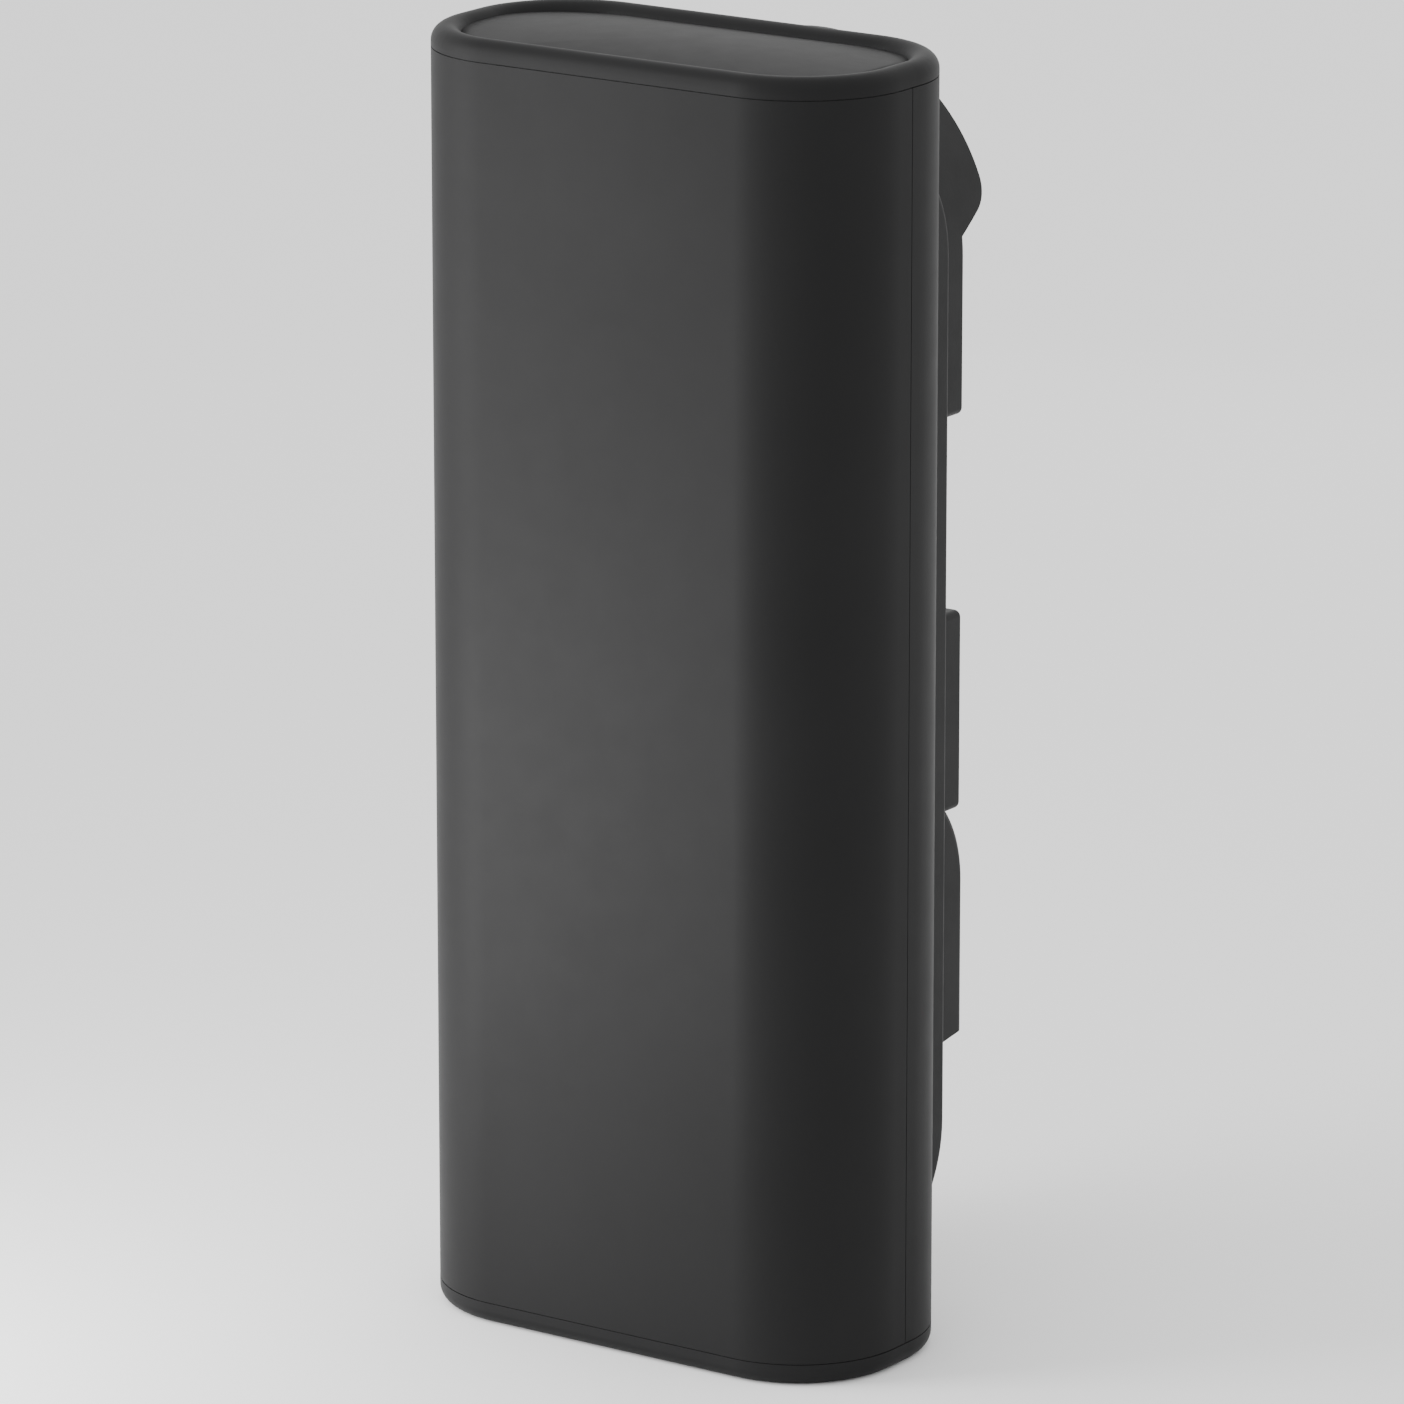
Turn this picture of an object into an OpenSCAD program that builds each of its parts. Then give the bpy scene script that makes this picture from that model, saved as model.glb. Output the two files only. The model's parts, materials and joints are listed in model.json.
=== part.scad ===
// Pedestrian traffic light: a tall housing with a hooded red standing figure, a green walking
// figure with a countdown, and a push-button unit. The front faces -Y and +Z is up.
// The origin is the middle of the bottom face, on the axis of the cable entry.

/* [Housing] */
// Width of the housing, side to side
body_w = 291; // [285:1:300]
// Depth of the housing, back to front shell
body_d = 144.4; // [142:0.2:150]
// Overall height with both caps
body_h = 720; // [715:1:725]
// Corner radius of the housing's plan outline
corner_r = 63.3; // [62:0.1:64]
// Wall thickness of both half shells
wall = 3; // [2.5:0.5:3.5]
// Height of the bottom cap's band
base_h = 12.4; // [12:0.1:14]
// Height of the top cap above its seam
cap_h = 11.2; // [11:0.1:12]
// Visible gap at each seam
seam = 0.5; // [0.4:0.1:0.7]
// Place of the split between the half shells, back to front
split_y = -2; // [-3:0.5:0]

/* [Front panel] */
// Half width of the raised panel
panel_hw = 112; // [110:0.5:113]
// Distance of the panel's face in front of the housing's centre plane
panel_out = 91.7; // [90:0.1:93]
// Radius with which the panel's ends curve back
panel_end_r = 70; // [66:1:74]
// Height where the panel's straight part starts
panel_z0 = 111.9; // [110:0.1:114]
// Height where the panel's straight part ends
panel_z1 = 598.5; // [596:0.1:600]

/* [Aspects] */
// Half width of both lens bezels
bezel_hw = 107.5; // [106:0.5:107.5]
// Distance of both bezels' faces in front of the centre plane
bezel_out = 112; // [110:0.5:114]
// Width of the bezel's visible rim
rim_w = 12.5; // [11:0.5:13]
// Height of the arch centre of the hooded aspect
arch_z = 594; // [592:0.5:596]
// Lower edge of the hooded bezel
red_z0 = 506.2; // [504:0.1:508]
// Lower edge of the countdown bezel
green_z0 = 284.2; // [283:0.1:286]
// Upper edge of the countdown bezel
green_z1 = 396.6; // [395:0.1:398]
// Outer radius of the hood
hood_r = 111; // [110:0.5:111.5]
// Distance of the hood's rim in front of the centre plane
hood_out = 132; // [128:0.5:136]

/* [Push-button unit] */
// Half width of the unit
unit_hw = 107; // [104:0.5:108]
// Distance of its face in front of the centre plane
unit_out = 116.6; // [114:0.1:118]
// Radius of its curved top
unit_r = 65; // [60:1:70]
// Height where its curved top meets the straight face
unit_z1 = 242.8; // [240:0.1:246]
// Height of its lower front edge
unit_z0 = 156.1; // [154:0.1:158]
// Height of the push button's centre
button_z = 200; // [198:0.5:202]
// Radius of the push button
button_r = 26; // [24:0.5:26]
// Travel of the push button
button_travel = 3; // [2:0.5:3]

/* [Hardware] */
// Distance of the hinge axis from the centre, sideways
hinge_x = 151; // [151:0.1:151.5]
// Radius of the hinge pins
pin_r = 3; // [2.5:0.1:3]
// Bolt spacing of the base, side to side
base_bolt_x = 120; // [110:5:130]
// Bolt spacing of the base, back to front
base_bolt_y = 60; // [50:5:60]
// Radius of the base's bolt holes
base_bolt_r = 4.5; // [4:0.5:5.5]
// Radius of the hole for the supply cable in the grommet
cable_r = 8; // [6:0.5:10]

/* [Hidden] */
$fn = 96;
black = "#2c2c2e";
dark = "#1d1d1f";
zinc = "#b9bcc0";
steel = "#8f9398";
board_green = "#1f5a3a";
half_w = body_w / 2;
half_d = body_d / 2;
arc_x = half_w - corner_r;
arc_y = half_d - corner_r;
top_z = body_h - cap_h;
shell_z0 = base_h + seam;
shell_z1 = top_z - seam;
cap_floor = 2.5;
bead_r = cap_h - cap_floor;
face_in = half_d - wall;
corner_round = 4;
lip = 2.6;
window_t = 4;
window_out = bezel_out - lip;
gasket_t = 1.4;
tub_out = window_out - window_t - gasket_t;
tub_gap = 0.7;
tub_wall = 2.5;
tub_inset = rim_w + 0.6;
tub_back = 50;
board_out = 86;
board_t = 1.6;
rebate = rim_w - 3;
hood_t = 2.8;
flange_t = 3;
split_half = seam / 2;
lip_w = 8;
lip_t = 3;
screw_r = 2;
hole_r = 2.05;
port_angles = [15, 65];
port_inset = 24;
port_bore = 2.2;
lock_x = -92;
lock_heights = [451, 130];
lock_r = 9.5;
spindle_r = 4;
spindle_fit = 4.05;
cam_y = 4.6;
cam_t = 3;
cam_len = 36;
hinge_heights = [600, 120];
hinge_len = 60;
knuckle_r = 5;
knuckle_end = 18;
pin_fit = 0.05;
leaf_t = 2.2;
lip_x = half_w - wall - lip_w / 2 + 1;
door_lip_y = split_y - 4.2;
mechanism_r = 40;
ring_r = 35;
stem_r = 6;
tip_r = 2;
carrier_out = 101;
switch_out = 82.4;
cap_in = carrier_out + button_travel + 3;
cap_out = unit_out + 2.6;
crown_out = cap_out + 1.4;
crown_r = 200;
speaker_x = 72;
speaker_r = 20;
sensor_z = 451;
sensor_r = 14;
plug_r = 7;
unit_slant = 8.5;
panel_screw_at = [for (s = [-1, 1], p = [[76, 490], [76, 410], [60, 135], [60, 80]])
    [s * p[0], p[1]]];
hood_screw_at = [for (a = [45, 75, 105, 135]) [101 * cos(a), arch_z + 101 * sin(a)]];
bezel_screw_at = [for (s = [-1, 1], p = [[101, 530], [101, 580], [40, 512.7], [101, 300],
    [101, 380]]) [s * p[0], p[1]]];
unit_screw_at = [for (s = [-1, 1], z = [178, 228]) [s * 98, z]];
carrier_screw_at = [for (s = [-1, 1], z = [-25, 25]) [s * 38, button_z + z]];
red_tub_screw_at = [[-60, 511], [60, 511], [0, 696]];
green_tub_screw_at = [for (s = [-1, 1], z = [289.5, 391.5]) [s * 60, z]];
tub_screw_at = concat(red_tub_screw_at, green_tub_screw_at);
plate_out = 57.2;
plate_t = 2;
rib_x = 66;
rib_w = 8;
rib_zs = [90, 360, 630];

// ---------- shared shapes ----------

// The housing's plan outline, moved in by an inset
module plan2d(inset = 0) {
    for (x = [-arc_x, arc_x], y = [-arc_y, arc_y])
        translate([x, y]) circle(corner_r - inset);
    square([2 * arc_x, 2 * (half_d - inset)], center = true);
    square([2 * (half_w - inset), 2 * arc_y], center = true);
}

// A solid of the plan outline between two heights
module plan_solid(z0, z1, inset = 0) {
    translate([0, 0, z0]) linear_extrude(z1 - z0) plan2d(inset);
}

// Sweeps a profile (inset from the face, height) all round the plan outline
module around_plan() {
    for (i = [0 : 3]) {
        sx = (i == 0 || i == 3) ? 1 : -1;
        sy = i < 2 ? 1 : -1;
        translate([sx * arc_x, sy * arc_y, 0]) rotate([0, 0, 90 * i])
            rotate_extrude(angle = 90) translate([corner_r, 0]) mirror([1, 0]) children();
        reach = i % 2 == 0 ? half_w : half_d;
        run = i % 2 == 0 ? arc_y : arc_x;
        rotate([0, 0, 90 * i]) translate([reach, run, 0]) rotate([90, 0, 0])
            linear_extrude(2 * run) mirror([1, 0]) children();
    }
}

// Places flat work on a plane facing the front: x stays X, y becomes Z, height goes to -Y
module on_front(out) {
    translate([0, -out, 0]) rotate([90, 0, 0]) children();
}

// An arch-topped outline
module arch2d(hw, zc, zb, rc) {
    intersection() {
        translate([0, zc]) circle(hw);
        translate([-hw, zc - 1]) square([2 * hw, hw + 2]);
    }
    translate([-hw, zb + rc]) square([2 * hw, zc - zb - rc]);
    translate([-hw + rc, zb]) square([2 * (hw - rc), rc + 1]);
    for (s = [-1, 1]) translate([s * (hw - rc), zb + rc]) circle(rc);
}

// A rectangle with rounded corners
module rect2d(hw, zb, zt, rc) {
    translate([-hw, zb + rc]) square([2 * hw, zt - zb - 2 * rc]);
    translate([-hw + rc, zb]) square([2 * (hw - rc), zt - zb]);
    for (s = [-1, 1], z = [zb + rc, zt - rc]) translate([s * (hw - rc), z]) circle(rc);
}

// Outlines of the two aspects, moved in by an inset
module red2d(inset) {
    arch2d(bezel_hw - inset, arch_z, red_z0 + inset, max(corner_round - inset, 1.4));
}
module green2d(inset) {
    rect2d(bezel_hw - inset, green_z0 + inset, green_z1 - inset, max(corner_round - inset, 1.4));
}

// One straight run of a frame profile along the outline's right side
module frame_run(hw, z_top, len) {
    translate([hw, z_top, 0]) rotate([90, 0, 0]) linear_extrude(len) mirror([1, 0]) children();
}

// One rounded corner of a frame profile, starting at an angle. The runs fill what lies inside it.
module frame_corner(x, z, start, r) {
    translate([x, z, 0]) rotate([0, 0, start]) rotate_extrude(angle = 90) intersection() {
        translate([r, 0]) mirror([1, 0]) children();
        square([r, body_d]);
    }
}

// Sweeps a profile round the arch-topped outline
module arch_frame(hw, zc, zb, rc) {
    translate([0, zc, 0]) rotate_extrude(angle = 180)
        translate([hw, 0]) mirror([1, 0]) children();
    for (m = [0, 1]) mirror([m, 0, 0]) {
        frame_run(hw, zc, zc - zb - rc) children();
        frame_corner(hw - rc, zb + rc, -90, rc) children();
    }
    rotate([0, 0, -90]) frame_run(-zb, hw - rc, 2 * (hw - rc)) children();
}

// Sweeps a profile round a rectangle with rounded corners
module rect_frame(hw, zb, zt, rc) {
    for (m = [0, 1]) mirror([m, 0, 0]) {
        frame_run(hw, zt - rc, zt - zb - 2 * rc) children();
        frame_corner(hw - rc, zb + rc, -90, rc) children();
        frame_corner(hw - rc, zt - rc, 0, rc) children();
    }
    rotate([0, 0, -90]) frame_run(-zb, hw - rc, 2 * (hw - rc)) children();
    rotate([0, 0, 90]) frame_run(zt, hw - rc, 2 * (hw - rc)) children();
}

// A bezel's section: rounded front edge, and a rebate behind the lip for the window
module bezel_profile(h) {
    edge = 2.8;
    difference() {
        union() {
            square([rim_w, h - edge]);
            translate([edge, 0]) square([rim_w - edge - 1, h]);
            translate([edge, h - edge]) circle(edge);
            translate([rim_w - 1, h - 1]) circle(1);
            translate([edge, 0]) square([rim_w - edge, h - 1]);
        }
        translate([rebate, -1]) square([rim_w, h - lip + 1]);
    }
}

// A slab across the front with rounded vertical edges and ends that curve back
module slab(hw, out, z0, z1, end_r, edge) {
    for (z = [z0, z1])
        translate([0, end_r - out, z]) rotate([0, 90, 0]) rotate_extrude($fn = 180)
            slab_section(hw, end_r, edge);
    translate([0, end_r - out, z0]) linear_extrude(z1 - z0) rotate(-90)
        slab_section(hw, end_r, edge);
}

// The slab's section: x is the distance from the curve's axis, y runs across
module slab_section(hw, reach, edge) {
    translate([0, -hw + edge]) square([reach, 2 * (hw - edge)]);
    translate([0, -hw]) square([reach - edge, 2 * hw]);
    for (s = [-1, 1]) translate([reach - edge, s * (hw - edge)]) circle(edge);
}

// A machine screw: the head's underside is at the origin and the shank points down
module screw(len, r = screw_r, head_r = 3.6, head_h = 2.4) {
    difference() {
        union() {
            cylinder(h = head_h, r = head_r, $fn = 48);
            translate([0, 0, -len]) cylinder(h = len + 0.5, r = r, $fn = 32);
        }
        translate([0, 0, head_h - 1.3]) cylinder(h = 2, r = head_r * 0.5, $fn = 6);
    }
}

// A screw driven from the inside towards the front
module inner_screw(x, z, y, len) {
    translate([x, y, z]) rotate([-90, 0, 0]) screw(len);
}

// A hole from front to back
module front_hole(x, z, y0, y1, r = hole_r) {
    translate([x, y1, z]) rotate([90, 0, 0]) cylinder(h = y1 - y0, r = r, $fn = 32);
}

// Positions of the four screw ports, as [x, y]
function port(angle, side) = [side * (arc_x + (corner_r - port_inset) * cos(angle)),
    arc_y + (corner_r - port_inset) * sin(angle)];
module at_ports() {
    for (a = port_angles, s = [-1, 1]) translate(concat(port(a, s), [0])) children();
}

// ---------- housing ----------

// Section shared by both half shells: the wall on one side of the split, and its sealing lips
module half_section(y0, depth, lip_y) {
    intersection() {
        difference() {
            plan2d();
            plan2d(wall);
        }
        translate([-half_w - 1, y0]) square([body_w + 2, depth]);
    }
    for (s = [-1, 1]) translate([s * lip_x - lip_w / 2, lip_y]) square([lip_w, lip_t]);
}

// Rear half of the housing with its screw ports and the ribs for the chassis plate
module rear_shell() {
    cut_y = split_y + split_half;
    color(black) difference() {
        translate([0, 0, shell_z0]) linear_extrude(shell_z1 - shell_z0) difference() {
            union() {
                half_section(cut_y, half_d + 5, cut_y);
                for (a = port_angles, s = [-1, 1]) translate(port(a, s)) port_web(a, s);
                for (s = [-1, 1]) translate([s * rib_x - rib_w / 2, plate_out + plate_t])
                    square([rib_w, face_in - plate_out - plate_t + 1]);
            }
            for (a = port_angles, s = [-1, 1]) translate(port(a, s)) circle(port_bore, $fn = 32);
        }
        for (s = [-1, 1], z = rib_zs) front_hole(s * rib_x, z, plate_out, face_in - 1);
        hinge_screw_holes(1);
    }
}

// A screw port's section and the web that joins it to the wall
module port_web(a, s) {
    circle(5, $fn = 48);
    rotate(s > 0 ? a : 180 - a) translate([0, -1.5]) square([port_inset - 1, 3]);
}

// Top cap: a rounded bead round a recessed floor, screwed down at the four ports
module top_cap() {
    color(black) difference() {
        union() {
            around_plan() {
                translate([0, top_z]) square([2 * bead_r, cap_floor]);
                intersection() {
                    translate([bead_r, body_h - bead_r]) circle(bead_r);
                    translate([0, top_z]) square([2 * bead_r, cap_h]);
                }
            }
            plan_solid(top_z, top_z + cap_floor, bead_r);
        }
        at_ports() translate([0, 0, top_z - 1]) cylinder(h = 5, r = 2.75, $fn = 32);
    }
}

// Gently domed cover that hides the top cap's screws, with a lip that lies on the bead
module cap_insert() {
    rise = 3.5;
    crown_z = body_h - 0.4;
    floor_z = top_z + cap_floor;
    skirt_inset = 2 * bead_r + 0.2;
    lip_inset = skirt_inset - 1.2;
    lip_z = floor_z + 4.4;
    color(black) difference() {
        intersection() {
            union() {
                plan_solid(floor_z, body_h, skirt_inset);
                plan_solid(lip_z, body_h, lip_inset);
            }
            translate([-half_w, 0, 0]) rotate([90, 0, 90]) linear_extrude(body_w)
                dome2d(half_d - lip_inset, rise, crown_z);
            translate([0, half_d, 0]) rotate([90, 0, 0]) linear_extrude(body_d)
                dome2d(half_w - lip_inset, rise, crown_z);
        }
        plan_solid(floor_z - 1, floor_z + 2.6, skirt_inset + 1.6);
    }
}

// Side view of a shallow dome: its half span, its rise and the height of its crown
module dome2d(half_span, rise, crown_z) {
    r = (half_span * half_span + rise * rise) / (2 * rise);
    intersection() {
        translate([0, crown_z - r]) circle(r, $fn = 720);
        translate([-half_w, crown_z - 20]) square([body_w, 21]);
    }
}

// Bottom cap: a low band with a rounded lower edge, a floor, and bosses for its screws
module bottom_cap() {
    edge = 8;
    floor_t = 4;
    color(black) difference() {
        union() {
            around_plan() {
                intersection() {
                    translate([edge, edge]) circle(edge);
                    square([edge, base_h]);
                }
                translate([0, edge]) square([edge, base_h - edge]);
                translate([edge - 1, 0]) square([edge + 1, floor_t]);
            }
            plan_solid(0, floor_t, edge + 6);
            at_ports() cylinder(h = base_h, r = 7, $fn = 48);
            at_base_bolts() cylinder(h = 10, r = 9, $fn = 48);
            cylinder(h = 9, r = 22);
        }
        at_ports() {
            translate([0, 0, -1]) cylinder(h = base_h + 2, r = 2.75, $fn = 32);
            translate([0, 0, -1]) cylinder(h = 4, r = 5, $fn = 48);
        }
        at_base_bolts() translate([0, 0, -1]) cylinder(h = 12, r = base_bolt_r, $fn = 48);
        translate([0, 0, -1]) cylinder(h = 12, r = 16);
    }
}

module at_base_bolts() {
    for (x = [-1, 1], y = [-1, 1])
        translate([x * base_bolt_x / 2, y * base_bolt_y / 2, 0]) children();
}

// Flat seals in both caps' seams, along the rear half
module cap_seals() {
    color(dark) for (z = [base_h, shell_z1]) intersection() {
        translate([0, 0, z]) linear_extrude(seam) difference() {
            plan2d(0.9);
            plan2d(wall - 0.3);
        }
        translate([-half_w, split_y + 1, 0]) cube([body_w, half_d + 5, body_h]);
    }
}

// Screws that hold both caps on the rear shell's ports
module cap_screws() {
    color(zinc) at_ports() {
        translate([0, 0, top_z + cap_floor]) screw(18, 2.15, 4.4);
        translate([0, 0, 3]) rotate([180, 0, 0]) screw(26, 2.15, 4.4);
    }
}

// Rubber grommet in the cable entry
module cable_grommet() {
    color(dark) difference() {
        union() {
            translate([0, 0, 0.4]) cylinder(h = 10.6, r = 15.9);
            translate([0, 0, 9]) cylinder(h = 3, r = 20);
        }
        translate([0, 0, -1]) cylinder(h = 20, r = cable_r);
    }
}

// Saddle that grips the supply cable against the chassis plate
module cable_clamp() {
    w = 46;
    h = 16;
    color(zinc) translate([0, plate_out, 78]) {
        difference() {
            union() {
                translate([-w / 2, -4, 0]) cube([w, 4, h]);
                translate([0, -8, 0]) cylinder(h = h, r = 12);
            }
            translate([0, -8, -1]) cylinder(h = h + 2, r = cable_r + 0.2);
            translate([-w, 0, -1]) cube([2 * w, 20, h + 2]);
        }
        for (s = [-1, 1]) translate([s * 17, -4, h / 2]) rotate([90, 0, 0]) cylinder(h = 2.2, r = 3);
    }
}

// Mounting plate for the electrical parts
module chassis_plate() {
    z0 = 62;
    z1 = 662;
    color(zinc) difference() {
        translate([0, plate_out + plate_t, 0]) rotate([90, 0, 0]) linear_extrude(plate_t)
            rect2d(78, z0, z1, 8);
        for (s = [-1, 1], z = rib_zs)
            front_hole(s * rib_x, z, plate_out - 1, plate_out + plate_t + 1);
        for (z = [430 : 40 : 570]) translate([-72, plate_out - 1, z]) rotate([-90, 0, 0])
            cylinder(h = 5, r = 3, $fn = 32);
    }
}
module chassis_screws() {
    color(steel) for (s = [-1, 1], z = rib_zs)
        translate([s * rib_x, plate_out, z]) rotate([90, 0, 0]) screw(9);
}

// Enclosed power supply with cooling fins and screw terminals
module power_supply() {
    w = 110;
    d = 36;
    z0 = 235;
    h = 160;
    color("#9a9ea3") {
        translate([-w / 2, plate_out - d, z0]) cube([w, d, h]);
        for (i = [0 : 12]) translate([-w / 2 + 5 + i * 8, plate_out - d - 4, z0 + 22])
            cube([2, 5, h - 30]);
        for (s = [-1, 1]) translate([s * (w / 2 + 4) - 5, plate_out - 2, z0 + h / 2 - 12])
            cube([10, 2, 24]);
    }
    color("#3b7a4b") translate([-w / 2 + 8, plate_out - d - 8, z0 + 2]) cube([w - 16, 9, 14]);
}

// Controller board on four standoffs, with its connectors, relays and capacitors
module controller_board() {
    w = 124;
    z0 = 420;
    h = 170;
    y1 = plate_out - 9;
    color(board_green) translate([-w / 2, y1 - 1.6, z0]) cube([w, 1.6, h]);
    color(steel) for (s = [-1, 1], z = [z0 + 7, z0 + h - 7])
        translate([s * (w / 2 - 7), plate_out, z]) rotate([90, 0, 0]) cylinder(h = 9, r = 3, $fn = 6);
    color("#3b7a4b") for (x = [-50, -18, 14]) translate([x, y1 - 13, z0 + 4]) cube([26, 11.5, 12]);
    color("#2d3a66") for (i = [0 : 3]) translate([-54 + i * 29, y1 - 17, z0 + 28])
        cube([20, 15.5, 27]);
    color(dark) translate([-22, y1 - 4.4, z0 + 82]) cube([32, 3, 32]);
    color("#30343c") for (x = [28, 42], z = [z0 + 88, z0 + 108])
        translate([x, y1 - 1.5, z]) rotate([90, 0, 0]) cylinder(h = 15, r = 5, $fn = 48);
}

// Rail for the terminals
module din_rail() {
    z = 140;
    color(zinc) {
        translate([-64, plate_out - 6, z - 13.5]) cube([128, 6, 27]);
        translate([-64, plate_out - 7.5, z - 17.5]) cube([128, 1.5, 35]);
    }
}

// Row of screw terminals clipped on the rail
module terminal_block() {
    z = 140;
    pitch = 8.2;
    y1 = plate_out - 7.8;
    for (i = [0 : 12]) color(i == 12 ? "#7f9a3a" : "#8b8f94") translate([-54 + i * pitch, y1, z])
        difference() {
            translate([0, -28, -21]) cube([pitch - 0.4, 28, 42]);
            for (s = [-1, 1]) translate([pitch / 2 - 0.2, -27, s * 14]) rotate([90, 0, 0])
                cylinder(h = 6, r = 2.4, $fn = 24);
        }
}

// Brass earth stud with two nuts
module earth_stud() {
    color("#b8963e") translate([54, plate_out, 92]) rotate([90, 0, 0]) {
        cylinder(h = 20, r = 3, $fn = 32);
        translate([0, 0, 0]) cylinder(h = 5, r = 5.8, $fn = 6);
        translate([0, 0, 8]) cylinder(h = 5, r = 5.8, $fn = 6);
    }
}

// Plates behind the sealing lip that the lock cams turn in behind
module lock_keepers() {
    y0 = split_y + split_half + lip_t;
    color(zinc) for (z = lock_heights) {
        translate([-half_w + wall + 0.5, y0, z - 22]) cube([23, 3, 44]);
        for (s = [-1, 1]) translate([-half_w + wall + 5, y0 + 3, z + s * 15])
            rotate([-90, 0, 0]) cylinder(h = 1.4, r = 3.6, $fn = 32);
    }
}

// ---------- hinges ----------

// One hinge's knuckles, at heights counted from its foot, with a leaf to the back or front
module hinge_leaf(knuckles, side) {
    for (k = knuckles) translate([hinge_x, split_y, k[0]]) difference() {
        union() {
            cylinder(h = k[1], r = knuckle_r);
            translate([half_w - hinge_x + 0.02, side > 0 ? 0 : -6, 0]) cube([leaf_t, 6, k[1]]);
        }
        translate([0, 0, -1]) cylinder(h = k[1] + 2, r = pin_r + pin_fit);
    }
    difference() {
        translate([half_w + 0.02, side > 0 ? split_y + 1.5 : split_y - 16, 0])
            cube([leaf_t, 14.5, hinge_len]);
        translate([hinge_x, split_y, -1]) cylinder(h = hinge_len + 2, r = knuckle_r + 0.5);
        for (z = [12, hinge_len - 12]) translate([half_w - 1, split_y + side * 11, z])
            rotate([0, 90, 0]) cylinder(h = 6, r = hole_r, $fn = 32);
    }
}
module hinge_leaves_body() {
    color(black) for (z = hinge_heights) translate([0, 0, z - hinge_len / 2])
        hinge_leaf([[0, knuckle_end], [hinge_len - knuckle_end, knuckle_end]], 1);
}
module hinge_leaves_door() {
    gap = 0.3;
    color(black) for (z = hinge_heights) translate([0, 0, z - hinge_len / 2])
        hinge_leaf([[knuckle_end + gap, hinge_len - 2 * knuckle_end - 2 * gap]], -1);
}
module hinge_pins() {
    color(steel) for (z = hinge_heights) translate([hinge_x, split_y, z - hinge_len / 2]) {
        cylinder(h = hinge_len, r = pin_r);
        translate([0, 0, hinge_len]) cylinder(h = 2, r = 4.2);
    }
}
module at_hinge_screws(side) {
    for (z = hinge_heights, s = [-1, 1])
        translate([half_w + leaf_t + 0.02, split_y + side * 11, z + s * 18]) rotate([0, 90, 0])
            children();
}
module hinge_screws(side) {
    color(steel) at_hinge_screws(side) screw(7, screw_r, 3.4, 2);
}
module hinge_screw_holes(side) {
    at_hinge_screws(side) translate([0, 0, -9]) cylinder(h = 9, r = hole_r, $fn = 32);
}
module hinge_screws_body() { hinge_screws(1); }
module hinge_screws_door() { hinge_screws(-1); }

// ---------- door ----------

// Front half of the housing, which opens as a door
module front_shell() {
    color(black) difference() {
        translate([0, 0, shell_z0]) linear_extrude(shell_z1 - shell_z0)
            half_section(-half_d - 5, half_d + 5 + split_y - split_half, door_lip_y);
        on_front(half_d - 25) linear_extrude(40) {
            red2d(tub_inset - tub_gap);
            green2d(tub_inset - tub_gap);
            translate([0, button_z]) circle(mechanism_r);
            translate([0, sensor_z]) circle(12);
            for (z = lock_heights) translate([lock_x, z]) circle(lock_r + 0.1);
        }
        for (p = concat(panel_screw_at, hood_screw_at, tub_screw_at))
            front_hole(p[0], p[1], -half_d - 1, -half_d + 8);
        hinge_screw_holes(-1);
    }
}

// Rubber strips on the door's sealing lips
module door_gasket() {
    t = split_y + split_half - 0.3 - door_lip_y - lip_t;
    w = 5.6;
    color(dark) for (s = [-1, 1]) translate([s * lip_x - w / 2, door_lip_y + lip_t, shell_z0])
        cube([w, t, shell_z1 - shell_z0]);
}

// Raised panel on the door that carries both aspects and the push-button unit
module front_panel() {
    skin = 3;
    color(black) difference() {
        union() {
            difference() {
                slab(panel_hw, panel_out, panel_z0, panel_z1, panel_end_r, 4);
                slab(panel_hw - skin, panel_out - skin, panel_z0, panel_z1, panel_end_r - skin, 2);
            }
            intersection() {
                slab(panel_hw, panel_out, panel_z0, panel_z1, panel_end_r, 4);
                for (p = panel_screw_at) front_hole(p[0], p[1], -panel_out, -half_d + 1, 5);
            }
        }
        plan_solid(-1, body_h + 1);
        on_front(half_d - 1) linear_extrude(40) {
            red2d(tub_inset - tub_gap);
            green2d(tub_inset - tub_gap);
            translate([0, button_z]) circle(mechanism_r);
            translate([speaker_x, button_z]) circle(speaker_r + 1.5);
            translate([0, sensor_z]) circle(sensor_r + 0.05);
            for (z = lock_heights) translate([lock_x, z]) circle(lock_r + 0.1);
        }
        for (p = panel_screw_at) front_hole(p[0], p[1], -half_d - 7.4, -half_d + 1);
        for (p = concat(bezel_screw_at, unit_screw_at))
            front_hole(p[0], p[1], -panel_out - 1, -panel_out + 4);
    }
}
module panel_screws() {
    color(steel) for (p = panel_screw_at) inner_screw(p[0], p[1], -face_in, 10);
}

// Half-round hood over the red aspect, clamped behind its bezel by a flange
module hood() {
    inner_r = hood_r - hood_t;
    color(black) difference() {
        union() {
            intersection() {
                on_front(half_d - 14) linear_extrude(hood_out - half_d + 14)
                    translate([0, arch_z]) difference() {
                        circle(hood_r, $fn = 180);
                        circle(inner_r, $fn = 180);
                    }
                translate([-hood_r - 1, 0, 0]) rotate([90, 0, 90])
                    linear_extrude(2 * hood_r + 2) hood_side2d();
            }
            intersection() {
                on_front(half_d) linear_extrude(flange_t) translate([0, arch_z]) difference() {
                    circle(inner_r + 0.5, $fn = 180);
                    circle(bezel_hw - tub_inset + 1, $fn = 180);
                }
                translate([-hood_r, -half_d - 10, 655]) cube([2 * hood_r, 20, 60]);
            }
        }
        plan_solid(-1, body_h + 1);
        slab(panel_hw, panel_out, panel_z0, panel_z1, panel_end_r, 4);
        for (p = hood_screw_at) front_hole(p[0], p[1], -half_d - 10, -half_d + 1);
    }
}

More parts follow.
